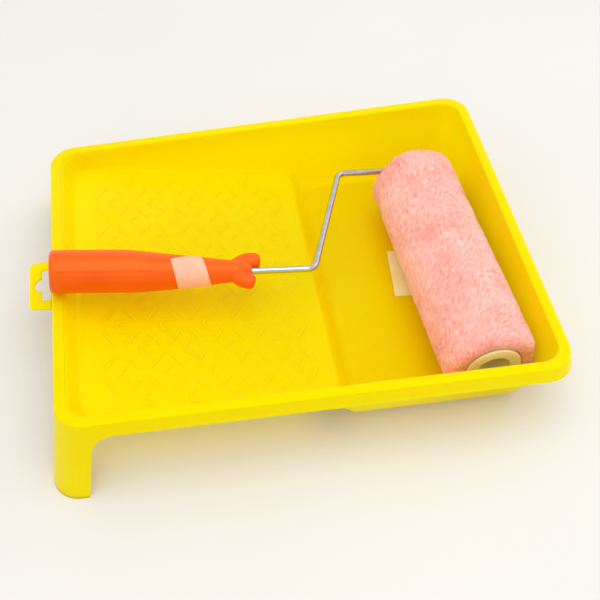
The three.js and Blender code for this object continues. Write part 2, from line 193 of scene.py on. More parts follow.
def swept(sections, sides, flat=1, flip=False):
    """Points and faces of round sections (centre, heading, radius) along a path in the XY plane."""
    points = []
    for centre, heading, radius in sections:
        for side in range(sides):
            angle = 2 * math.pi * side / sides
            points.append((
                centre[0] - heading[1] * radius * math.cos(angle),
                centre[1] + heading[0] * radius * math.cos(angle),
                flat * radius * math.sin(angle),
            ))
    return points, tube_faces(len(sections), sides, flip)


def ring_faces(rows, sides):
    """Quads over closed rings of points, of which the last joins the first."""
    last = (rows - 1) * sides
    faces = grid_faces(rows, sides, closed=True, flip=True)
    faces += [
        (side, (side + 1) % sides, last + (side + 1) % sides, last + side) for side in range(sides)
    ]
    return faces


def turned(profile, sides):
    """Points and faces of a closed profile of (radius, y) turned about the Y axis."""
    angles = np.linspace(0, 2 * math.pi, sides, endpoint=False)
    points = [
        (radius * math.cos(angle), y, radius * math.sin(angle))
        for radius, y in profile
        for angle in angles
    ]
    return points, ring_faces(len(profile), sides)


def joined(parts):
    """The points and faces of several shapes as one."""
    points, faces = [], []
    for part_points, part_faces in parts:
        start = len(points)
        points += part_points
        faces += [tuple(start + corner for corner in face) for face in part_faces]
    return points, faces


def rounded(corners, radius, steps=4):
    """A closed profile of (radius, y) with rounded corners. A corner may add its own rounding."""
    profile = []
    count = len(corners)
    for index, corner in enumerate(corners):
        here = Vector(corner[:2])
        before = Vector(corners[index - 1][:2]) - here
        after = Vector(corners[(index + 1) % count][:2]) - here
        wish = corner[2] if len(corner) > 2 else radius
        reach = min(wish, before.length * MOST_ROUNDED, after.length * MOST_ROUNDED)
        start = here + before.normalized() * reach
        end = here + after.normalized() * reach
        for step in range(steps + 1):
            part = step / steps
            point = start * (1 - part) ** 2 + here * 2 * part * (1 - part) + end * part**2
            profile.append(tuple(point))
    return profile


def smooth_step(value, low, high):
    part = np.clip((value - low) / (high - low), 0, 1)
    return part * part * (3 - 2 * part)


# ---- materials


def linear(red, green, blue):
    """A display colour of 0 to 255 as a linear colour."""
    parts = [value / 255 for value in (red, green, blue)]
    return tuple(p / 12.92 if p <= 0.04045 else ((p + 0.055) / 1.055) ** 2.4 for p in parts)


NOISE_LOW, NOISE_HIGH = 0.3, 0.7  # most of a noise's values lie between these
MIX_FACTOR, MIX_FIRST, MIX_SECOND, MIX_RESULT = 0, 6, 7, 2  # sockets of a Mix node for colours


class Finish:
    """A Principled material, and short names for the nodes that feed it."""

    def __init__(self, name, settings):
        self.material = bpy.data.materials.new(name)
        self.material.use_nodes = True
        self.tree = self.material.node_tree
        self.shader = self.tree.nodes["Principled BSDF"]
        for socket, value in settings.items():
            self.shader.inputs[socket].default_value = value
        self.place = self.tree.nodes.new("ShaderNodeTexCoord").outputs["Object"]

    def link(self, source, target):
        self.tree.links.new(source, target)

    def feed(self, socket, source):
        self.link(source, self.shader.inputs[socket])

    def add(self, kind, sources, values):
        """A node with some sockets linked to sources and some set to values."""
        node = self.tree.nodes.new("ShaderNode" + kind)
        for socket, source in sources.items():
            self.link(source, node.inputs[socket])
        for socket, value in values.items():
            node.inputs[socket].default_value = value
        return node

    def stretched(self, scale):
        return self.add("Mapping", {"Vector": self.place}, {"Scale": scale}).outputs["Vector"]

    def noise(self, scale, detail=2, roughness=0.5, place=None):
        values = {"Scale": scale, "Detail": detail, "Roughness": roughness}
        return self.add("TexNoise", {"Vector": place or self.place}, values).outputs["Fac"]

    def span(self, source, low, high):
        """A noise spread from a low value to a high one."""
        values = {"From Min": NOISE_LOW, "From Max": NOISE_HIGH, "To Min": low, "To Max": high}
        return self.add("MapRange", {"Value": source}, values).outputs["Result"]

    def colours(self, source, *stops):
        node = self.add("ValToRGB", {"Fac": source}, {})
        ramp = node.color_ramp
        while len(ramp.elements) < len(stops):
            ramp.elements.new(0.5)
        for element, (position, colour) in zip(ramp.elements, stops):
            element.position = position
            element.color = (*linear(*colour), 1)
        return node.outputs["Color"]

    def mottled(self, source, dull, bright):
        return self.colours(source, (NOISE_LOW, dull), (NOISE_HIGH, bright))

    def mix(self, factor, first, colour):
        """The first source mixed with a plain display colour."""
        node = self.tree.nodes.new("ShaderNodeMix")
        node.data_type = "RGBA"
        self.link(factor, node.inputs[MIX_FACTOR])
        self.link(first, node.inputs[MIX_FIRST])
        node.inputs[MIX_SECOND].default_value = (*linear(*colour), 1)
        return node.outputs[MIX_RESULT]

    def attribute(self, name):
        node = self.tree.nodes.new("ShaderNodeAttribute")
        node.attribute_name = name
        return node.outputs["Fac"]

    def bump(self, *layers):
        """Each layer is a height, its strength and the size of its relief in millimetres."""
        below = {}
        for height, strength, relief in layers:
            values = {"Strength": strength, "Distance": relief * MM}
            node = self.add("Bump", {"Height": height, **below}, values)
            below = {"Normal": node.outputs["Normal"]}
        self.feed("Normal", node.outputs["Normal"])


def tray_plastic(name, depth, dull, bright):
    """Moulded plastic, as deep to light as its depth says, from 0 to 1."""
    finish = Finish(name, {
        "Subsurface Weight": depth,
        "Subsurface Radius": (0.4, 0.65, 0.05),
        "Subsurface Scale": 10 * MM,
        "Specular IOR Level": 0.3,
        "Specular Tint": (1.0, 0.8, 0.0, 1),
    })
    clouds = finish.noise(9, detail=3)
    finish.feed("Base Color", finish.mottled(clouds, dull, bright))
    grain = finish.noise(420, detail=3, roughness=0.6)
    drag = finish.noise(60, detail=4, roughness=0.7, place=finish.stretched((0.3, 6, 1)))
    finish.feed("Roughness", finish.span(clouds, 0.3, 0.38))
    finish.bump((drag, 0.12, 0.05), (grain, 0.15, 0.04))
    return finish.material


def grip_plastic():
    finish = Finish("grip_plastic", {
        "Subsurface Weight": 0.12,
        "Subsurface Radius": (1.0, 0.3, 0.05),
        "Subsurface Scale": 2 * MM,
        "Specular Tint": (1.0, 0.62, 0.2, 1),
        "Specular IOR Level": 0.7,
    })
    clouds = finish.noise(40, detail=3)
    finish.feed("Base Color", finish.mottled(clouds, (236, 87, 11), (243, 94, 16)))
    grain = finish.noise(700, detail=3, roughness=0.6)
    finish.feed("Roughness", finish.span(clouds, 0.2, 0.27))
    finish.bump((clouds, 0.15, 0.3), (grain, 0.25, 0.05))
    return finish.material


def plated_steel():
    finish = Finish("plated_steel", {"Metallic": 1.0, "Anisotropic": 0.3})
    stains = finish.noise(120, detail=4)
    finish.feed("Base Color", finish.mottled(stains, (186, 186, 192), (206, 206, 210)))
    finish.feed("Roughness", finish.span(stains, 0.06, 0.14))
    finish.bump((finish.noise(1600), 0.08, 0.02))
    return finish.material


def core_plastic():
    finish = Finish("core_plastic", {
        "Subsurface Weight": 0.2,
        "Subsurface Radius": (1.0, 0.8, 0.4),
        "Subsurface Scale": 2 * MM,
    })
    clouds = finish.noise(60, detail=3)
    finish.feed("Base Color", finish.mottled(clouds, (249, 241, 182), (252, 246, 200)))
    finish.feed("Roughness", finish.span(clouds, 0.4, 0.5))
    finish.bump((finish.noise(500, detail=3), 0.2, 0.05))
    return finish.material


def paper(name, fibre_scale, blotch_scale, dull, bright, rough, crumple):
    finish = Finish(name, {"Specular IOR Level": 0.3})
    fibres = finish.noise(fibre_scale, detail=4, roughness=0.7)
    blotches = finish.noise(blotch_scale)
    finish.feed("Base Color", finish.mottled(blotches, dull, bright))
    finish.feed("Roughness", finish.span(fibres, *rough))
    finish.bump((fibres, 0.3, 0.05), (blotches, crumple, 0.2))
    return finish.material


def tape_paper():
    colours = (247, 180, 150), (249, 194, 166)
    return paper("tape_paper", 900, 90, *colours, rough=(0.55, 0.75), crumple=0.4)


def label_paper():
    colours = (244, 238, 164), (248, 243, 180)
    return paper("label_paper", 800, 70, *colours, rough=(0.6, 0.8), crumple=0.3)


def fleece(name, depth):
    """Pink pile with painted shade, darker and redder in its creases, as deep to light as its depth
    says, from 0 to 1.
    """
    finish = Finish(name, {
        "Subsurface Weight": depth,
        "Subsurface Radius": (1.0, 0.45, 0.35),
        "Subsurface Scale": 5 * MM,
        "Sheen Weight": 0.2,
        "Sheen Roughness": 0.5,
        "Sheen Tint": (1.0, 0.8, 0.75, 1),
        "Specular IOR Level": 0.1,
        "Roughness": 0.95,
    })
    painted_shade = finish.attribute("painted_shade")
    # painted shade: a low value gives a darker, redder pink for creases, gaps and hair roots
    tint = finish.colours(painted_shade, (0.0, (255, 152, 142)), (0.45, (255, 184, 175)), (1.0, (255, 214, 207)))
    clouds = finish.noise(45, detail=3)
    finish.feed("Base Color", finish.mix(finish.span(clouds, 0, 0.25), tint, (255, 190, 168)))
    finish.bump((finish.noise(1500, detail=3), 0.4, 0.2))
    return finish.material


def pale_floor():
    finish = Finish("pale_floor", {"Roughness": 0.6, "Specular IOR Level": 0.2})
    clouds = finish.noise(3)
    finish.feed("Base Color", finish.mottled(clouds, (232, 231, 228), (236, 235, 232)))
    return finish.material


# ---- tray: rings of the moulding

ARC_STEPS = 16  # round a corner
LEAD_STEPS = 6  # from a corner's arc to the first stop of a straight side
END_STEPS = 28  # along the straight part of an end
SIDE_Y_STEPS = ARC_STEPS + 2 * (LEAD_STEPS + 1) + END_STEPS  # between the middles of two corners
RAMP_STEPS = 16
BREAK_STEPS = 22
WELL_STEPS = 10
EDGE_STEPS = 5  # round either edge of the rim
FILLET_STEPS = 8
RUN_END_Y = 98
RUN_START_X = -139.7
RUN_END_X = 128
STEP_ZONE = (14, 36)
LIP_DEPTHS = (LIP_DROP, LIP_DROP - 0.7, 8, 5, 3)
RIM_INSETS = (2.5, RIM_BAND / 2, RIM_BAND - 2.5)
WALL_PARTS = (0.05, 0.2, 0.4, 0.6, 0.8)
BREAK_SOFTNESS = 3  # of the edge between ramp and step
FOOT_SOFTNESS = 4  # of the corner between step and well floor
RAMP_FILLET = 3  # of the wall's foot beside the ramp, up the wall and over the ramp alike
WELL_FILLET_CLIMB = 10  # of the wall's foot in the well, up the wall
WELL_FILLET_REACH = 8  # and over the floor
FILLET_BLEND = 6  # how far beyond the step one fillet goes over into the other
CORNER_TIGHTENING = 0.9  # loss of corner radius for each mm from the wall's foot
BASE_MARGIN = 3
SETTLING_ROUNDS = 8
FRONT_RIGHT, BACK_RIGHT, BACK_LEFT, FRONT_LEFT = range(4)
ALONG_X, ALONG_Y = 0, 1


def run_stops():
    """Places along the long sides, close together where the ramp breaks down to the well."""
    ramp = np.linspace(RUN_START_X, STEP_ZONE[0], RAMP_STEPS + 1)[:-1]
    step = np.linspace(*STEP_ZONE, BREAK_STEPS + 1)[:-1]
    well = np.linspace(STEP_ZONE[1], RUN_END_X, WELL_STEPS + 1)
    return np.concatenate([ramp, step, well])


def ring_stations():
    """Stations round the tray, from the middle of the front right corner.

    Each is a corner, an angle on its arc, the axis of the straight side beside it, a stop along
    that side, and how far the station lies from the arc's end towards the stop.
    """
    quarter = math.pi / 2
    spans = [
        (-quarter - RIM_SLANT, 0),
        (0, quarter + RIM_SLANT),
        (quarter + RIM_SLANT, 2 * quarter),
        (2 * quarter, 3 * quarter - RIM_SLANT),
    ]
    ends = np.linspace(-RUN_END_Y, RUN_END_Y, END_STEPS + 1)
    stops = [ends, run_stops()[::-1], ends[::-1], run_stops()]
    axes = [ALONG_Y, ALONG_X, ALONG_Y, ALONG_X]
    half = ARC_STEPS // 2
    stations = []
    for corner in range(4):
        after = (corner + 1) % 4
        axis = axes[corner]
        side = stops[corner]
        low, high = spans[corner]
        for step in range(half, ARC_STEPS + 1):
            stations.append((corner, low + (high - low) * step / ARC_STEPS, axis, 0, 0))
        for step in range(1, LEAD_STEPS + 1):
            stations.append((corner, high, axis, side[0], step / (LEAD_STEPS + 1)))
        for stop in side:
            stations.append((corner, high, axis, stop, 1))
        low, high = spans[after]
        for step in range(LEAD_STEPS, 0, -1):
            stations.append((after, low, axis, side[-1], step / (LEAD_STEPS + 1)))
        for step in range(half):
            stations.append((after, low + (high - low) * step / ARC_STEPS, axis, 0, 0))
    return np.array(stations)


STATIONS = ring_stations()
STATION_COUNT = len(STATIONS)


def ring_points(side, deep, shallow, radius):
    """The rim's outline moved inward by a distance at the sides and at each end."""
    corner, angle, axis, stop, part = STATIONS.T
    right = corner <= BACK_RIGHT
    back = np.where((corner == BACK_RIGHT) | (corner == BACK_LEFT), 1, -1)
    centre_x = np.where(right, RIM_LENGTH / 2 - deep - radius, shallow + radius - RIM_LENGTH / 2)
    centre_y = back * (RIM_HALF_WIDTH + RIM_TAPER * centre_x - (side + radius) / math.cos(RIM_SLANT))
    x = centre_x + radius * np.cos(angle)
    y = centre_y + radius * np.sin(angle)
    along_x = x + (stop - x) * part
    side_y = back * (RIM_HALF_WIDTH + RIM_TAPER * along_x - side / math.cos(RIM_SLANT))
    on_side = (axis == ALONG_X) & (part > 0)
    on_end = (axis == ALONG_Y) & (part > 0)
    y = np.where(on_side, side_y, np.where(on_end, y + (stop - y) * part, y))
    return np.where(on_side, along_x, x), y


def base_depth(x):
    """Depth of the ramp, the step and the well floor below the rim."""
    def blended(first, second, softness, sign):
        return (first + second + sign * np.sqrt((first - second) ** 2 + softness**2)) / 2

    slope = (RAMP_FOOT[1] - RAMP_TOP[1]) / (RAMP_FOOT[0] - RAMP_TOP[0])
    ramp = RAMP_TOP[1] + slope * (x - RAMP_TOP[0])
    fall = (STEP_FOOT[1] - RAMP_FOOT[1]) / (STEP_FOOT[0] - RAMP_FOOT[0])
    step = RAMP_FOOT[1] + fall * (x - RAMP_FOOT[0])
    sloping = blended(ramp, step, BREAK_SOFTNESS, 1)
    return blended(sloping, STEP_FOOT[1], FOOT_SOFTNESS, -1)


def wall_ring(depth, tuck):
    """A ring on the well's wall at a depth, or beyond its foot by a tuck."""
    side = RIM_BAND + WALL_DRAFT * depth + tuck
    shallow = RIM_BAND + SHALLOW_WALL_DRAFT * depth + tuck
    return ring_points(side, side, shallow, WELL_CORNER_RADIUS - CORNER_TIGHTENING * tuck)


def rim_rings():
    """Rings from the foot of the lip, over the rim, to the top of the well's wall."""
    rings = []

    def add(inset, depth):
        spread = max(depth - RIM_EDGE_RADIUS, 0) if inset <= 0 else 0
        radius = RIM_CORNER_RADIUS - (RIM_CORNER_RADIUS - WELL_CORNER_RADIUS) * max(inset, 0) / RIM_BAND
        side = inset - SIDE_SPLAY * spread
        end = inset - END_SPLAY * spread
        x, y = ring_points(side, end, end, radius)
        rings.append(np.stack([x, y, np.full_like(x, -depth)], 1))

    for depth in LIP_DEPTHS:
        add(0, depth)
    turns = np.linspace(0, math.pi / 2, EDGE_STEPS + 1)
    for turn in turns:
        add(RIM_EDGE_RADIUS * (1 - math.cos(turn)), RIM_EDGE_RADIUS * (1 - math.sin(turn)))
    for inset in RIM_INSETS:
        add(inset, 0)
    for turn in turns:
        inset = RIM_BAND - RIM_EDGE_RADIUS * (1 - math.sin(turn))
        add(inset, RIM_EDGE_RADIUS * (1 - math.cos(turn)))
    return rings


def well_rings():
    """Rings down the wall, round the fillet at its foot and onto the ramp or the floor."""
    depth = np.full(STATION_COUNT, RAMP_TOP[1])
    for _ in range(SETTLING_ROUNDS):
        depth = base_depth(wall_ring(depth, 0)[0])
    foot_x = wall_ring(depth, 0)[0]
    in_well = smooth_step(foot_x, RAMP_FOOT[0] - FILLET_BLEND, STEP_FOOT[0] + FILLET_BLEND)
    climb = RAMP_FILLET + (WELL_FILLET_CLIMB - RAMP_FILLET) * in_well
    reach = RAMP_FILLET + (WELL_FILLET_REACH - RAMP_FILLET) * in_well
    rings = []

    def add(wall, tuck, level):
        x, y = wall_ring(wall, tuck)
        rings.append(np.stack([x, y, -level], 1))

    top = depth - climb
    for part in WALL_PARTS:
        level = RIM_EDGE_RADIUS + (top - RIM_EDGE_RADIUS) * part
        add(level, 0, level)
    far_level = base_depth(wall_ring(depth, reach)[0])
    for part in np.linspace(0, 1, FILLET_STEPS + 1):
        rest = (1 - part) ** 2
        level = rest * top + 2 * part * (1 - part) * depth + part**2 * far_level
        add(depth - rest * climb, part**2 * reach, level)
    beyond = base_depth(wall_ring(depth, reach + BASE_MARGIN)[0])
    add(depth, reach + BASE_MARGIN, beyond)
    return rings


def base_grid(ring):
    """Grid that fills the last ring: rows from the deep end to the shallow end, front to back."""
    count_y = SIDE_Y_STEPS
    count_x = STATION_COUNT // 2 - count_y
    right = ring[: count_y + 1]
    back = ring[count_y: count_y + count_x + 1]
    left = ring[count_y + count_x: 2 * count_y + count_x + 1][::-1]
    front = np.concatenate([ring[2 * count_y + count_x:], ring[:1]])[::-1]
    u = np.linspace(0, 1, count_x + 1)[:, None, None]
    v = np.linspace(0, 1, count_y + 1)[None, :, None]
    across = (1 - u) * right[None] + u * left[None]
    along = (1 - v) * front[:, None] + v * back[:, None]
    corners = ((1 - u) * (1 - v) * right[0] + (1 - u) * v * right[-1]
               + u * (1 - v) * left[0] + u * v * left[-1])
    grid = across + along - corners
    grid[..., 2] = -base_depth(grid[..., 0])
    return grid


def base_indices(count_x, count_y, ring_start, inner_start):
    """Indices of the base grid's points, which on the border are points of the last ring."""
    x = np.arange(count_x + 1)
    y = np.arange(count_y + 1)
    indices = inner_start + (x[:, None] - 1) * (count_y - 1) + y - 1
    indices[:, 0] = ring_start + STATION_COUNT - x
    indices[:, -1] = ring_start + count_y + x
    indices[0] = ring_start + y
    indices[-1] = ring_start + 2 * count_y + count_x - y
    return indices


LEG_DROPS = (0.5, 1.5, 3, 5, 7.5, 10, LEG_FILLET, 20, 28, 36, 44, 50, RIM_HEIGHT - LIP_DROP)
LEG_HALF_TURN = math.pi / 4 - RIM_SLANT / 2


def leg_row(back, depth, along):
    """Points of a leg at a depth, at distances along the outline from the middle of its corner."""
    spread = depth - RIM_EDGE_RADIUS
    radius = RIM_CORNER_RADIUS
    centre_x = radius - END_SPLAY * spread - RIM_LENGTH / 2
    half_width = RIM_HALF_WIDTH + RIM_TAPER * centre_x
    centre_y = back * (half_width - (radius - SIDE_SPLAY * spread) / math.cos(RIM_SLANT))
    turn = np.clip(along / radius, -LEG_HALF_TURN, LEG_HALF_TURN)
    angle = math.pi - back * LEG_HALF_TURN + turn
    extra = along - turn * radius
    x = centre_x + radius * np.cos(angle) - extra * np.sin(angle)
    y = centre_y + radius * np.sin(angle) + extra * np.cos(angle)
    return np.stack([x, y, np.full_like(x, -depth)], 1)


def leg_patch(corner, foot_ring):
    """Stations of a corner leg, and its rows of points from the lip's foot down to the ground."""
    middle = STATION_COUNT // 2 if corner == BACK_LEFT else STATION_COUNT // 2 + SIDE_Y_STEPS
    reach = ARC_STEPS // 2 + LEAD_STEPS + 1
    stations = range(middle - reach, middle + reach + 1)
    back = 1 if corner == BACK_LEFT else -1
    steps = np.linalg.norm(np.diff(foot_ring[stations][:, :2], axis=0), axis=1)
    along = np.concatenate([[0], np.cumsum(steps)])
    along -= along[len(along) // 2]
    narrow = RIM_CORNER_RADIUS * LEG_HALF_TURN + LEG_STRAIGHT
    rows = []
    for drop in LEG_DROPS:
        inside = max(LEG_FILLET - drop, 0)
        fillet = LEG_FILLET - math.sqrt(LEG_FILLET**2 - inside**2)
        part = along / np.where(along < 0, -along[0], along[-1])
        rows.append(leg_row(back, LIP_DROP + drop, part * (narrow + fillet)))
    return stations, rows


def tray_sheet():
    """The outer and upper surface of the moulding as one sheet of quads."""
    rings = rim_rings() + well_rings()
    grid = base_grid(rings[-1])
    points = np.concatenate([*rings, grid[1:-1, 1:-1].reshape(-1, 3)])
    faces = grid_faces(len(rings), STATION_COUNT, closed=True)
    inner_start = len(rings) * STATION_COUNT
    ring_start = inner_start - STATION_COUNT
    index = base_indices(grid.shape[0] - 1, grid.shape[1] - 1, ring_start, inner_start)
    quads = np.stack([index[:-1, :-1], index[:-1, 1:], index[1:, 1:], index[1:, :-1]], 2)
    faces += quads.reshape(-1, 4).tolist()
    for corner in (BACK_LEFT, FRONT_LEFT):
        upper, rows = leg_patch(corner, rings[0])
        for row in rows:
            lower = range(len(points), len(points) + len(row))
            points = np.concatenate([points, row])
            for a in range(len(row) - 1):
                faces.append((lower[a], lower[a + 1], upper[a + 1], upper[a]))
            upper = lower
    return points, faces


# ---- tray: raised pattern on the ramp

RIB_PITCH_X = 31
RIB_PITCH_Y = 21
RIB_ROWS = 11
RIB_COLUMNS = 7
RIB_HEIGHT = 0.28
RIB_HALF_WIDTH = 0.9
RIB_GAP = 0.17  # of a lozenge's side, left open at each end
RIB_PROFILE = [(-1, -0.15), (-0.55, 0.25), (-0.2, 0.9), (0.2, 0.9), (0.55, 0.25), (1, -0.15)]
RIB_END_HEIGHT = -0.3  # of the rib's own height, so its ends are sunk in
RIB_END_WIDTH = 0.48
RIB_LINE_PARTS = (0, 0.12, 0.5, 0.88, 1)
RIB_ZONE = (-146, 12)  # along X
RIB_MARGIN = 22  # from the rim's outer edge
RING_OFFSET = 3
RING_RADIUS = 5
RING_OPEN_AT = 60  # degrees to either side of +X


def ramp_rib(line):
    """A low rounded rib along a line of (x, y) points on the ramp, sunk in at both ends."""
    points = []
    last = len(line) - 1
    for index, (x, y) in enumerate(line):
        before = Vector(line[max(index - 1, 0)])
        after = Vector(line[min(index + 1, last)])
        across = (after - before).normalized().orthogonal()
        tall, wide = (RIB_END_HEIGHT, RIB_END_WIDTH) if index in (0, last) else (1, 1)
        for offset, height in RIB_PROFILE:
            place = Vector((x, y)) + across * offset * RIB_HALF_WIDTH * wide
            level = height * RIB_HEIGHT * (tall if height > 0 else 1)
            points.append((place.x, place.y, level - float(base_depth(np.array(place.x)))))
    return points, tube_faces(len(line), len(RIB_PROFILE), flip=True)


def straight_line(start, end):
    return [tuple(Vector(start).lerp(Vector(end), part)) for part in RIB_LINE_PARTS]


def arc_line(centre, radius, start, end, steps=10):
    angles = np.linspace(math.radians(start), math.radians(end), steps + 1)
    return [(centre[0] + radius * math.cos(a), centre[1] + radius * math.sin(a)) for a in angles]


def ramp_ribs():
    """Staggered lozenges with a small open ring in each, over the whole ramp."""
    lines = []
    low, high = RIB_ZONE
    for row in range(RIB_ROWS):
        y = (row - (RIB_ROWS - 1) / 2) * RIB_PITCH_Y
        shift = RIB_PITCH_X / 2 if row % 2 else 0
        for column in range(RIB_COLUMNS):
            x = low + shift + column * RIB_PITCH_X
            for side in (-1, 1):
                top = Vector((x, y + side * RIB_PITCH_Y))
                right = Vector((x + RIB_PITCH_X / 2, y))
                lines.append(straight_line(top.lerp(right, RIB_GAP), right.lerp(top, RIB_GAP)))
            centre = (x + RING_OFFSET, y)
            lines.append(arc_line(centre, RING_RADIUS, RING_OPEN_AT, 360 - RING_OPEN_AT))
    limit = RIM_HALF_WIDTH - RIB_MARGIN
    return [
        line for line in lines
        if all(low < x < high and abs(y) < limit + RIM_TAPER * x for x, y in line)
    ]


# ---- tray: hanging tab

TAB_ROOT_HALF = 23.5
TAB_END_HALF = 21.5
TAB_CORNER = 3
TAB_Y = -2
SLOT_HALF = 15
SLOT_REACH = 9
SLOT_BUMP_REACH = 14
SLOT_BUMP_RADIUS = 7
SLOT_CORNER = 1
TRAY_EDGE = 0.45  # bevel of the moulding's edges
TAB_EDGE = 0.4


def tab_outlines():
    """The tab's outer edge and its slot, as (x, y) points from the rim's edge."""
    root, end = 1, -TAB_REACH
    outer = [(root, -TAB_ROOT_HALF), (root, TAB_ROOT_HALF)]
    for side in (1, -1):
        centre = (end + TAB_CORNER, side * (TAB_END_HALF - TAB_CORNER))
        start, stop = (90, 180) if side > 0 else (180, 270)
        outer += arc_line(centre, TAB_CORNER, start, stop, steps=6)
    bump_x = SLOT_BUMP_RADIUS - SLOT_BUMP_REACH
    spread = math.degrees(math.acos((bump_x + SLOT_REACH) / SLOT_BUMP_RADIUS))
    slot_root = -LIP_DROP * END_SPLAY
    corner_x = SLOT_CORNER - SLOT_REACH
    corner_y = SLOT_HALF - SLOT_CORNER
    slot = [(slot_root, -SLOT_HALF)]
    slot += arc_line((corner_x, -corner_y), SLOT_CORNER, 270, 180, steps=4)
    slot += arc_line((bump_x, 0), SLOT_BUMP_RADIUS, 180 + spread, 180 - spread, steps=14)
    slot += arc_line((corner_x, corner_y), SLOT_CORNER, 180, 90, steps=4)
    slot += [(slot_root, SLOT_HALF)]
    return outer, slot


def hanging_tab():
    """A thin plate with a slot, in the tray's coordinates."""
    shape = bmesh.new()
    edges = []
    for outline in tab_outlines():
        corners = [
            shape.verts.new((x - RIM_LENGTH / 2, y + TAB_Y, SKIN - LIP_DROP)) for x, y in outline
        ]
        edges += [shape.edges.new(pair) for pair in zip(corners, corners[1:] + corners[:1])]
    filled = bmesh.ops.triangle_fill(shape, edges=edges, use_beauty=True, normal=(0, 0, 1))
    top = [item for item in filled["geom"] if isinstance(item, bmesh.types.BMFace)]
    grown = bmesh.ops.extrude_face_region(shape, geom=top)
    lower = [item for item in grown["geom"] if isinstance(item, bmesh.types.BMVert)]
    bmesh.ops.translate(shape, verts=lower, vec=(0, 0, -SKIN))
    bmesh.ops.recalc_face_normals(shape, faces=shape.faces)
    shape.verts.index_update()
    points = [tuple(vertex.co) for vertex in shape.verts]
    faces = [tuple(vertex.index for vertex in face.verts) for face in shape.faces]
    shape.free()
    return points, faces


def build_tray(material):
    tray = new_object("tray", *tray_sheet(), TRAY_PLACE)
    skin = add_thickness(tray, SKIN, offset=-1)
    skin.use_even_offset = True
    add_bevel(tray, TRAY_EDGE)
    keep_modifiers(tray)
    tab = new_object("tab", *hanging_tab(), TRAY_PLACE)
    add_bevel(tab, TAB_EDGE)
    keep_modifiers(tab)
    whole = bmesh.new()
    whole.from_mesh(tray.data)
    whole.from_mesh(tab.data)
    bpy.data.objects.remove(tab)
    whole.to_mesh(tray.data)
    whole.free()
    for vertex in tray.data.vertices:
        vertex.co.z = max(vertex.co.z, 0)
    tray.data.shade_smooth()
    tray.data.set_sharp_from_angle(angle=SHARP_ANGLE)
    finish_piece(tray, material, "tray", "tray_shell")


def build_ribs(material):
    points, faces = joined(ramp_rib(line) for line in ramp_ribs())
    ribs = new_object("ramp_ribs", points, faces, TRAY_PLACE)
    finish_piece(ribs, material, "tray", "tray_shell")


# ---- labels

LABEL_HALF_LENGTH = 27
LABEL_HALF_WIDTH = 24
LABEL_THICKNESS = 0.3
LABEL_EDGE = 0.08
LABEL_TURN = -5  # degrees
LABEL_RIPPLE = 0.12
LABEL_RIPPLE_SIZE = 14
LABEL_ROWS, LABEL_COLUMNS = 25, 23

TAPE_START = 82.5  # from the grip's butt
TAPE_WIDTH = 24
TAPE_THICKNESS = 0.15
TAPE_LIFT = 0.15
TAPE_WRAP = (88, 292)  # degrees round the grip
TAPE_SKEW = 44  # how much sooner its far edge starts, in degrees
TAPE_LEAD = 12 / 230  # mm that it moves along the grip for each degree round it
TAPE_LEAD_FROM = 60  # degrees
TAPE_WRINKLE = 0.1
WRINKLE_LENGTH = 7  # along the grip
WRINKLE_COUNT = 9  # round it
TAPE_ROWS, TAPE_COLUMNS = 13, 61


def build_floor_label(material):
    """A paper sticker on the well floor, a little rippled."""
    low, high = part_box("floor_label")
    centre = (low + high) / 2
    points = []
    for row in range(LABEL_ROWS):
        for column in range(LABEL_COLUMNS):
            x = (2 * row / (LABEL_ROWS - 1) - 1) * LABEL_HALF_LENGTH
            y = (2 * column / (LABEL_COLUMNS - 1) - 1) * LABEL_HALF_WIDTH
            ripple = noise.noise(Vector((x / LABEL_RIPPLE_SIZE, y / LABEL_RIPPLE_SIZE, 3)))
            points.append((x, y, LABEL_RIPPLE * abs(ripple)))
    turn = Matrix.Rotation(math.radians(LABEL_TURN), 4, "Z")
    place = Matrix.Translation((centre.x, centre.y, low.z)) @ turn
    faces = grid_faces(LABEL_ROWS, LABEL_COLUMNS, flip=True)
    label = new_object("floor_sticker", points, faces, place)
    add_thickness(label, LABEL_THICKNESS, offset=-1)
    add_bevel(label, LABEL_EDGE)
    keep_modifiers(label)
    finish_piece(label, material, "tray", "floor_label")


def build_grip_tape(material):
    """Tape wound part of the way round the grip, a little askew."""
    points = []
    for row in range(TAPE_ROWS):
        part = row / (TAPE_ROWS - 1)
        start = TAPE_WRAP[0] - TAPE_SKEW * part
        for column in range(TAPE_COLUMNS):
            sweep = column / (TAPE_COLUMNS - 1)
            turn = start + (TAPE_WRAP[1] - start) * sweep
            distance = TAPE_START + TAPE_WIDTH * part + TAPE_LEAD * (turn - TAPE_LEAD_FROM)
            place = Vector((distance / WRINKLE_LENGTH, sweep * WRINKLE_COUNT, 1))
            radius = grip_radius(distance) + TAPE_LIFT + TAPE_WRINKLE * abs(noise.noise(place))
            angle = math.radians(turn)
            across = radius * math.cos(angle) + grip_sag(distance)
            points.append((distance, across, radius * math.sin(angle)))
    tape = new_object("grip_tape", points, grid_faces(TAPE_ROWS, TAPE_COLUMNS), HANDLE_PLACE)
    add_thickness(tape, TAPE_THICKNESS, offset=1)
    keep_modifiers(tape)
    finish_piece(tape, material, "frame", "handle_label")


# ---- handle

GRIP_SIDES = 64
GRIP_TAPER_POWER = 1.2
GRIP_SAG_ZONE = (35, 95)
BUTT_EDGE = 3
BUTT_STEPS = 6
STRAIGHT_STATIONS = (8, 14, 20, 27, 34, 41, 48)
TAPER_STATIONS = 26
NOSE = [(133, 8.2), (138, 7.4), (141, 6.2), (143.5, 4.4)]  # (distance, radius), between the ears
GRIP_VOXEL = 0.55
GRIP_SOFTENING = 8

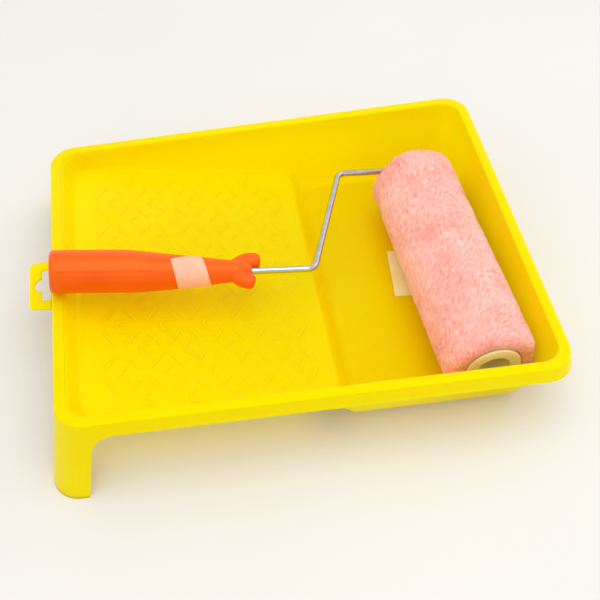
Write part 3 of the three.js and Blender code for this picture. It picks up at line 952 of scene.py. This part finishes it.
EARS = [  # a curve's four points and its radius
    ((127, 2.0), (134, 5.0), (139, 8.2), (144.6, 8.0), 6.6),
    ((127, -3.5), (131, -6.4), (135, -9.6), (139.4, -11.2), 6.0),
]
EAR_SIDES = 32
EAR_STEPS = 10
EAR_END_STEPS = 6
EAR_START = 0.72  # part of its radius at its start
EAR_GROWN = 0.8  # part of its length where it has its full radius
EAR_FLATNESS = 0.92
EAR_END_REACH = 0.55  # part of its radius
EAR_END_POWER = 1.3
EAR_BLUNT = 2.6

BEADS_PER_ROW = 22
BEAD_START = 8
BEAD_PITCH = 2.9
BEAD_BEARING = 130  # degrees round the grip
BEAD_ROW_TURN = 14
BEAD_HEIGHT = 0.5
BEAD_RADIUS = 0.9
BEADED_RADIUS = 8  # no bead is nearer to the grip's middle


def grip_radius(distance):
    part = min(max((distance - GRIP_BELLY) / (GRIP_NECK - GRIP_BELLY), 0), 1)
    return GRIP_RADIUS - (GRIP_RADIUS - NECK_RADIUS) * part**GRIP_TAPER_POWER


def grip_sag(distance):
    """How far the grip's middle lies off the straight line from its butt to the wire's bend."""
    return -GRIP_SAG * float(smooth_step(distance, *GRIP_SAG_ZONE))


def grip_body():
    """The turned body, from its rounded butt past the waist."""
    stations = []
    for step in range(BUTT_STEPS + 1):
        turn = math.pi / 2 * step / BUTT_STEPS
        radius = GRIP_RADIUS - BUTT_EDGE * (1 - math.sin(turn))
        stations.append((BUTT_EDGE * (1 - math.cos(turn)), radius))
    stations += [(distance, GRIP_RADIUS) for distance in STRAIGHT_STATIONS]
    tapered = np.linspace(GRIP_BELLY, GRIP_NECK, TAPER_STATIONS)
    stations += [(distance, grip_radius(distance)) for distance in tapered]
    sections = [
        ((distance, grip_sag(distance)), (1, 0), radius) for distance, radius in stations + NOSE
    ]
    return swept(sections, GRIP_SIDES, flip=True)


def grip_ear(start, first, second, end, radius):
    """A stubby finger that leaves the waist beside the wire and ends in a blunt round face."""
    path = [Vector(point) for point in (start, first, second, end)]
    sections = []
    for step in range(EAR_STEPS + 1):
        part = step / EAR_STEPS
        rest = 1 - part
        centre = (path[0] * rest**3 + path[1] * 3 * rest**2 * part
                  + path[2] * 3 * rest * part**2 + path[3] * part**3)
        heading = ((path[1] - path[0]) * rest**2 + (path[2] - path[1]) * 2 * rest * part
                   + (path[3] - path[2]) * part**2).normalized()
        grown = EAR_START + (1 - EAR_START) * smooth_step(part, 0, EAR_GROWN)
        sections.append((centre, heading, radius * grown))
    centre, heading, _ = sections[-1]
    for step in range(1, EAR_END_STEPS + 1):
        turn = math.pi / 2 * step / EAR_END_STEPS
        reach = (radius * EAR_END_REACH + EAR_BLUNT) * math.sin(turn)
        width = radius - (radius - EAR_BLUNT) * (1 - math.cos(turn)) ** EAR_END_POWER
        sections.append((centre + heading * reach, heading, width))
    return swept(sections, EAR_SIDES, flat=EAR_FLATNESS, flip=True)


def grip_beads():
    """Two short rows of small raised beads along the side of the grip."""
    beads = []
    for index in range(BEADS_PER_ROW):
        distance = BEAD_START + index * BEAD_PITCH
        beads.append((distance, BEAD_BEARING))
        beads.append((distance + BEAD_PITCH / 2, BEAD_BEARING + BEAD_ROW_TURN))
    return beads


def press_beads(grip):
    """Pushes the grip's surface out into beads."""
    beads = grip_beads()
    middle = BEAD_BEARING + BEAD_ROW_TURN / 2
    for vertex in grip.data.vertices:
        x, y, z = (value / MM for value in vertex.co)
        radius = math.hypot(y, z)
        angle = math.degrees(math.atan2(z, y)) % 360
        if radius < BEADED_RADIUS or abs(angle - middle) > BEAD_ROW_TURN:
            continue
        lift = 0
        for distance, bearing in beads:
            gap = math.hypot(x - distance, math.radians(angle - bearing) * radius)
            lift = max(lift, BEAD_HEIGHT * math.exp(-(gap / BEAD_RADIUS) ** 2))
        vertex.co.y += lift * MM * y / radius
        vertex.co.z += lift * MM * z / radius


def build_grip(material):
    points, faces = joined([grip_body(), *(grip_ear(*ear) for ear in EARS)])
    grip = new_object("grip", points, faces, Matrix.Identity(4))
    weld = grip.modifiers.new("weld", "REMESH")
    weld.mode = "VOXEL"
    weld.voxel_size = GRIP_VOXEL * MM
    soften = grip.modifiers.new("soften", "SMOOTH")
    soften.factor = 0.5
    soften.iterations = GRIP_SOFTENING
    keep_modifiers(grip)
    press_beads(grip)
    grip.data.transform(HANDLE_PLACE)
    grip.data.shade_smooth()
    finish_piece(grip, material, "frame", "handle_grip")


# ---- wire frame and its fittings

HUB_FACE = 88  # distance of either hub's outer face from the sleeve's middle
WIRE_END = -93
WIRE_SIDES = 28
WIRE_CHAMFER = 0.5
BEND_STEPS = 14

FITTING_SIDES = 40
FITTING_BORE = WIRE_RADIUS + 0.1
FITTING_RADIUS = 5
FITTING_GAP = 0.3  # to the hub's face
NUT_RADIUS = 7
NUT_RIM = 1
NUT_LENGTH = 3
NUT_ROUNDING = 0.4
COLLAR_LENGTH = 4
COLLAR_ROUNDING = 0.5


def wire_route():
    """Stations of the bent wire, as points and headings in the frame's plane."""
    along = HANDLE_RUN.normalized()
    start = Vector(HANDLE_BUTT) + along * WIRE_START - Vector((-along.y, along.x)) * WIRE_SAG
    corners = [start, Vector(FIRST_BEND), Vector(SECOND_BEND), Vector((0, SECOND_BEND[1])),
               Vector((0, WIRE_END))]
    route = [(corners[0], (corners[1] - corners[0]).normalized())]
    for before, corner, after in zip(corners, corners[1:], corners[2:]):
        arriving = (corner - before).normalized()
        leaving = (after - corner).normalized()
        turn = math.atan2(arriving.cross(leaving), arriving.dot(leaving))
        begin = corner - arriving * WIRE_BEND_RADIUS * math.tan(abs(turn) / 2)
        side = Vector((-arriving.y, arriving.x)) * math.copysign(WIRE_BEND_RADIUS, turn)
        centre = begin + side
        for step in range(BEND_STEPS + 1):
            bend = Matrix.Rotation(turn * step / BEND_STEPS, 2)
            route.append((centre - bend @ side, bend @ arriving))
    route.append((corners[-1], (corners[-1] - corners[-2]).normalized()))
    return route


def build_wire(material):
    *route, (end, heading) = wire_route()
    sections = [(point, direction, WIRE_RADIUS) for point, direction in route]
    sections.append((end - heading * WIRE_CHAMFER, heading, WIRE_RADIUS))
    sections.append((end, heading, WIRE_RADIUS - WIRE_CHAMFER))
    wire = new_object("bent_wire", *swept(sections, WIRE_SIDES), ROLLER_PLACE)
    wire.data.set_sharp_from_angle(angle=SHARP_ANGLE)
    finish_piece(wire, material, "frame", "wire_frame")


def turned_piece(name, corners, rounding, sides, place=ROLLER_PLACE):
    return new_object(name, *turned(rounded(corners, rounding), sides), place)


def build_push_nut(material):
    """The nut that keeps the sleeve on the wire's free end."""
    inner_face = -HUB_FACE - FITTING_GAP
    outer_face = inner_face - NUT_LENGTH
    corners = [
        (FITTING_BORE, outer_face), (FITTING_RADIUS, outer_face), (NUT_RADIUS, inner_face - NUT_RIM),
        (NUT_RADIUS, inner_face), (FITTING_BORE, inner_face),
    ]
    nut = turned_piece("push_nut", corners, NUT_ROUNDING, FITTING_SIDES)
    finish_piece(nut, material, "frame", "axle_push_nut")


def build_collar(material):
    """The collar that keeps the sleeve off the wire's bend."""
    low = HUB_FACE + FITTING_GAP
    high = low + COLLAR_LENGTH
    corners = [
        (FITTING_BORE, low), (FITTING_RADIUS, low), (FITTING_RADIUS, high), (FITTING_BORE, high),
    ]
    collar = turned_piece("collar", corners, COLLAR_ROUNDING, FITTING_SIDES)
    finish_piece(collar, material, "frame", "stop_collar")


# ---- sleeve

CORE_SIDES = 96
CORE_BORE = 19
CORE_ROUNDING = 0.3
CORE_END = CORE_LENGTH / 2
TUBE_END = CORE_END - 2.3
TUBE_CORNERS = [
    (CORE_BORE, -TUBE_END), (CORE_RADIUS, -TUBE_END), (CORE_RADIUS, TUBE_END), (CORE_BORE, TUBE_END),
]
HUB_RADIUS = 6
HUB_BORE = 2.9
HUB_END = 80
FLANGE_END = CORE_END - 2
PLUG_RADIUS = 18.7
PLUG_END = 83.5
RECESS_RADII = (12, 11.6)  # at its mouth and at its floor
RECESS_FLOOR = 86
PLUG_CORNERS = [
    (RECESS_RADII[0], -CORE_END, 0.8), (CORE_RADIUS, -CORE_END, 0.9),
    (CORE_RADIUS, -FLANGE_END, 0.4), (PLUG_RADIUS, -FLANGE_END), (PLUG_RADIUS, -PLUG_END),
    (HUB_RADIUS, -PLUG_END), (HUB_RADIUS, -HUB_END), (HUB_BORE, -HUB_END),
    (HUB_BORE, -HUB_FACE), (HUB_RADIUS, -HUB_FACE),
    (HUB_RADIUS, -RECESS_FLOOR, 0.8), (RECESS_RADII[1], -RECESS_FLOOR, 1.5),
]

PILE_STEP = 0.68
PILE_SIDES = 310
PILE_BORE = CORE_RADIUS + 0.2
PILE_MOUTH = [(0, 4), (0.6, 1.2), (3, 0)]  # (distance from the bore, depth from the end)
PILE_END_STEPS = 20
PILE_DEPTH = 0.7  # how deep its material is to light
MOUTH_SHADE = 0.15  # darker towards both ends
MOUTH_REACH = 35

NAP_WIDTH = 2.0
NAP_LENGTH = 7
NAP_SWIRL = 6
NAP_SWIRL_SIZE = 13
NAP_RELIEF = 0.8
NAP_JOIN = 5.6  # radians round the sleeve, from where the fibres blend into those at its start
TUFT_WIDTH = 5.2
TUFT_LENGTH = 6.4
TUFT_SWIRL = 0.9
TUFT_SWIRL_SCALE = 0.45
TUFT_RELIEF = 1.1
TUFT_LEVEL = 0.25  # height of the tufts that leaves the pile at its own radius
CREASE_SLOPE = 1.6
CREASE_SHARE = 0.45
SWELL_SHARE = 0.6
SWELL_SIZE = 21
DENT_DEPTH = 2.6
DENT_SIZE = 17
DENT_START = 0.05
DENT_SHIFT = Vector((2, 9, 4))
# weights of the painted shade, which darkens the creases between tufts and the gaps beside fibres
SHADE_BASE, SHADE_BY_TUFT, SHADE_BY_FIBRE = 0.4, 0.4, 0.45

HAIR_SEED = 7
HAIR_COUNT = 7000
HAIR_LENGTHS = (2.16, 5.04)  # shortest and longest
HAIR_RADII = (0.098, 0.182)
HAIR_STANDS = (0.3, 0.8)  # rise of the half that leaves the pile
HAIR_LEANS = (0.6, 0.9)  # reach along the pile of that half and of the other
HAIR_TAPER = 0.75
HAIR_SINK = 0.3
HAIR_BEARING = -0.8
HAIR_SWIRL = 1.2
HAIR_SPREAD = 0.6
HAIR_BEND = 0.35  # loss of rise from one half to the other
# painted shade: darker at the roots down in the pile, lighter at the tips
HAIR_SHADES = [0.3] * 3 + [0.5] * 3 + [0.8]  # of the root's corners, the bend's and the tip


def build_core(material):
    core = turned_piece("core", TUBE_CORNERS, CORE_ROUNDING, CORE_SIDES)
    finish_piece(core, material, "sleeve", "core_tube")
    turn = Matrix.Rotation(math.pi, 4, "Z")
    for node, place in (("outer_end_plug", ROLLER_PLACE), ("inner_end_plug", ROLLER_PLACE @ turn)):
        plug = turned_piece(node + "_ring", PLUG_CORNERS, CORE_ROUNDING, CORE_SIDES, place)
        finish_piece(plug, material, "sleeve", node)


def pile_end(end, rounding):
    """The outline from the bore, over one end of the pile and onto its round side."""
    side = math.copysign(1, end)
    outline = [(PILE_BORE + out, end - depth * side) for out, depth in PILE_MOUTH]
    for turn in np.linspace(0, math.pi / 2, PILE_END_STEPS + 1):
        radius = PILE_RADIUS - rounding * (1 - math.sin(turn))
        outline.append((radius, end - side * rounding * (1 - math.cos(turn))))
    return outline


def pile_profile():
    """The firm pile's outline from one end of the bore to the other, as (radius, y)."""
    near, far = (pile_end(end, rounding) for end, rounding in zip(PILE_ENDS, PILE_END_RADII))
    start, stop = near[-1][1], far[-1][1]
    middle = np.linspace(start, stop, round((stop - start) / PILE_STEP) + 1)[1:-1]
    return near + [(PILE_RADIUS, y) for y in middle] + far[::-1]


def nap(point, angle, reach):
    """Fine fibres that lie askew over the pile: above 0 on a fibre and below 0 beside it."""
    swirl = NAP_SWIRL * noise.noise(Vector(point) / NAP_SWIRL_SIZE)

    def fibres(arc):
        across = (arc + reach + swirl) / NAP_WIDTH
        along = (arc - reach) / NAP_LENGTH
        return noise.noise(Vector((across, along, 0)))

    arc = angle * PILE_RADIUS
    value = fibres(arc)
    joining = (angle - NAP_JOIN) / (2 * math.pi - NAP_JOIN)
    if joining > 0:
        value += (fibres(arc - 2 * math.pi * PILE_RADIUS) - value) * joining
    return value


def tufting(point):
    """How far the pile stands up at a point: clumps parted by soft creases, over broad swells."""
    x, y, z = point
    stretch = Vector((x / TUFT_WIDTH, y / TUFT_LENGTH, z / TUFT_WIDTH))
    swirl = noise.noise_vector(stretch * TUFT_SWIRL_SCALE) * TUFT_SWIRL
    distances, _ = noise.voronoi(stretch + swirl)
    crease = min((distances[1] - distances[0]) * CREASE_SLOPE, 1)
    return CREASE_SHARE * crease + SWELL_SHARE * noise.noise(Vector(point) / SWELL_SIZE)


def dent(point):
    """How far out the pile is: below 0 where broad soft dents press it in."""
    return DENT_DEPTH * min(noise.noise(Vector(point) / DENT_SIZE + DENT_SHIFT) - DENT_START, 0)


def pile_surface(outline, sides):
    """Points of the lumpy pile, with their painted shade from dark creases to light crowns."""
    count = len(outline)
    rows = np.array(outline)
    reach = np.concatenate([[0], np.cumsum(np.linalg.norm(np.diff(rows, axis=0), axis=1))])
    points, shades = [], []
    for row, (radius, y) in enumerate(outline):
        before, after = outline[max(row - 1, 0)], outline[min(row + 1, count - 1)]
        slope = Vector((after[0] - before[0], after[1] - before[1])).normalized()
        out_radius, out_y = slope.y, -slope.x
        outside = len(PILE_MOUTH) <= row < count - len(PILE_MOUTH)
        mouth = float(smooth_step(abs(y), PILE_ENDS[1] - MOUTH_REACH, PILE_ENDS[1]))
        for side in range(sides):
            angle = 2 * math.pi * side / sides
            flat = (radius * math.cos(angle), y, radius * math.sin(angle))
            rise = tufting(flat)
            fibre = nap(flat, angle, reach[row])
            lift = outside * ((rise - TUFT_LEVEL) * TUFT_RELIEF + fibre * NAP_RELIEF + dent(flat))
            wide = radius + out_radius * lift
            points.append((wide * math.cos(angle), y + out_y * lift, wide * math.sin(angle)))
            # painted shade: darker in the creases between tufts and beside each fibre, and darker
            # towards both ends
            tone = SHADE_BASE + SHADE_BY_TUFT * rise + SHADE_BY_FIBRE * fibre
            shades.append(tone - MOUTH_SHADE * mouth)
    return points, shades


def limited(points):
    """Pulls points in so that none stands further from the axis than the pile's limit."""
    points = np.asarray(points, float)
    radius = np.hypot(points[:, 0], points[:, 2])
    room = PILE_LIMIT - PILE_EASE
    pressed = PILE_EASE + room * np.tanh((radius - PILE_EASE) / room)
    scale = np.where(radius > PILE_EASE, pressed, radius) / radius
    points[:, 0] *= scale
    points[:, 2] *= scale
    return points


def hair_roots(outline, rng):
    """Evenly spread places on the pile, except on its near end: radius, y, slope and angle of each."""
    rows = np.array(outline[len(PILE_MOUTH) + PILE_END_STEPS:-len(PILE_MOUTH)])
    steps = np.linalg.norm(np.diff(rows, axis=0), axis=1) * (rows[1:, 0] + rows[:-1, 0])
    reach = np.concatenate([[0], np.cumsum(steps)])
    picks = rng.random(HAIR_COUNT) * reach[-1]
    radius = np.interp(picks, reach, rows[:, 0])
    y = np.interp(picks, reach, rows[:, 1])
    before = np.clip(np.searchsorted(reach, picks) - 1, 0, len(rows) - 2)
    slope = rows[before + 1] - rows[before]
    slope /= np.linalg.norm(slope, axis=1)[:, None]
    angle = rng.random(HAIR_COUNT) * 2 * math.pi
    return zip(radius, y, slope, angle)


def hair_points(radius, y, slope, angle, rng):
    """Points of a bent three-sided spike: three at its root, three at its bend, and its tip."""
    spoke = Vector((math.cos(angle), 0, math.sin(angle)))
    around = Vector((-math.sin(angle), 0, math.cos(angle)))
    along = spoke * slope[0] + Vector((0, 1, 0)) * slope[1]
    normal = spoke * slope[1] - Vector((0, 1, 0)) * slope[0]
    root = spoke * radius + Vector((0, y, 0))
    root += normal * (dent(root) - HAIR_SINK)
    swirl = HAIR_SWIRL * noise.noise(root / NAP_SWIRL_SIZE)
    bearing = HAIR_BEARING + swirl + rng.normal(0, HAIR_SPREAD)
    lie = along * math.cos(bearing) + around * math.sin(bearing)
    stand = rng.uniform(*HAIR_STANDS)
    half_length = rng.uniform(*HAIR_LENGTHS) / 2
    middle = root + (lie * HAIR_LEANS[0] + normal * stand) * half_length
    tip = middle + (lie * HAIR_LEANS[1] + normal * (stand - HAIR_BEND)) * half_length
    size = rng.uniform(*HAIR_RADII)
    points = []
    for place, width in ((root, size), (middle, size * HAIR_TAPER)):
        for corner in range(3):
            bend = corner * 2 * math.pi / 3
            side = lie.cross(normal) * math.cos(bend) + (normal - lie * 0.5) * math.sin(bend)
            points.append(tuple(place + side * width))
    return points + [tuple(tip)]


def pile_hairs(outline, rng):
    """Points, shades and faces of the loose hairs that stand off the pile."""
    points, faces = [], []
    for radius, y, slope, angle in hair_roots(outline, rng):
        start = len(points)
        points += hair_points(radius, y, slope, angle, rng)
        for corner in range(3):
            after = (corner + 1) % 3
            faces.append((start + 3 + corner, start + 3 + after, start + after, start + corner))
            faces.append((start + 6, start + 3 + after, start + 3 + corner))
        faces.append((start, start + 1, start + 2))
    return points, HAIR_SHADES * HAIR_COUNT, faces


def fleece_piece(name, points, shades, faces, material):
    piece = new_object(name, limited(points), faces, ROLLER_PLACE)
    painted_shade = piece.data.attributes.new("painted_shade", "FLOAT", "POINT")
    painted_shade.data.foreach_set("value", np.clip(shades, 0, 1))
    finish_piece(piece, material, "sleeve", "fleece_cover")


def build_pile():
    outline = pile_profile()
    points, shades = pile_surface(outline, PILE_SIDES)
    faces = ring_faces(len(outline), PILE_SIDES)
    fleece_piece("pile", points, shades, faces, fleece("fleece", PILE_DEPTH))
    hairs = pile_hairs(outline, np.random.default_rng(HAIR_SEED))
    fleece_piece("pile_hairs", *hairs, fleece("fleece_hair", 0))


# ---- camera, light and floor

CAMERA_PLACE = Vector((-0.06448, -0.46610, 0.58457))
CAMERA_YAW = 9.83  # degrees from straight ahead along Y, towards +X
CAMERA_PITCH = 51.35  # degrees below the horizon
CAMERA_LENS = 56.4
CAMERA_SHIFT_Y = -1 / 600  # part of the picture's width
FLOOR_HALF = 3000


def build_camera():
    data = bpy.data.cameras.new("camera")
    data.lens = CAMERA_LENS
    data.sensor_width = 36
    data.shift_y = CAMERA_SHIFT_Y
    data.clip_start = 0.02
    data.clip_end = 30
    camera = bpy.data.objects.new("camera", data)
    camera.location = CAMERA_PLACE
    camera.rotation_euler = (math.radians(90 - CAMERA_PITCH), 0, math.radians(-CAMERA_YAW))
    bpy.context.scene.collection.objects.link(camera)
    bpy.context.scene.camera = camera


def add_area_light(name, place, target, size, power, colour):
    """An area light that the camera doesn't see."""
    data = bpy.data.lights.new(name, "AREA")
    data.shape = "RECTANGLE"
    data.size, data.size_y = size
    data.energy = power
    data.color = colour
    light = bpy.data.objects.new(name, data)
    light.location = place
    light.visible_camera = False
    light.rotation_euler = (Vector(target) - Vector(place)).to_track_quat("-Z", "Y").to_euler()
    bpy.context.scene.collection.objects.link(light)


def build_light():
    """A pale studio round the object, and the glow of light that passes through the ramp."""
    world = bpy.data.worlds.new("studio")
    world.use_nodes = True
    background = world.node_tree.nodes["Background"]
    background.inputs["Color"].default_value = (1.0, 0.99, 0.975, 1)
    background.inputs["Strength"].default_value = 0.9
    bpy.context.scene.world = world
    add_area_light(
        "overhead", place=(0.1, -0.2, 1.15), target=(0.1, -0.2, 0),
        size=(0.9, 1.05), power=4.2, colour=(1, 0.99, 0.97),
    )
    add_area_light(
        "from_right", place=(1.1, 0.5, 0.9), target=(0, 0, 0),
        size=(0.7, 0.7), power=1, colour=(1, 1, 1),
    )
    add_area_light(
        "under_ramp", place=(-0.078, -0.115, 0.016), target=(-0.078, -0.12, 0),
        size=(0.17, 0.03), power=0.005, colour=(1, 0.85, 0),
    )
    bpy.context.scene.view_settings.view_transform = "Standard"


def build_floor():
    half = FLOOR_HALF
    points = [(-half, -half, 0), (half, -half, 0), (half, half, 0), (-half, half, 0)]
    floor = new_object("floor", points, [(0, 1, 2, 3)], Matrix.Identity(4))
    floor.data.materials.append(pale_floor())


build_camera()
build_light()
build_floor()
build_tray(tray_plastic("tray_plastic", 1, (254, 218, 0), (255, 222, 0)))
# painted highlight: the ribs get the tray's plastic a little lighter, so the raised lines read as
# catching the light
build_ribs(tray_plastic("rib_plastic_painted_highlight", 0, (254, 224, 5), (255, 228, 11)))
build_floor_label(label_paper())
build_grip(grip_plastic())
build_grip_tape(tape_paper())
steel = plated_steel()
build_wire(steel)
build_push_nut(steel)
build_collar(steel)
build_core(core_plastic())
build_pile()
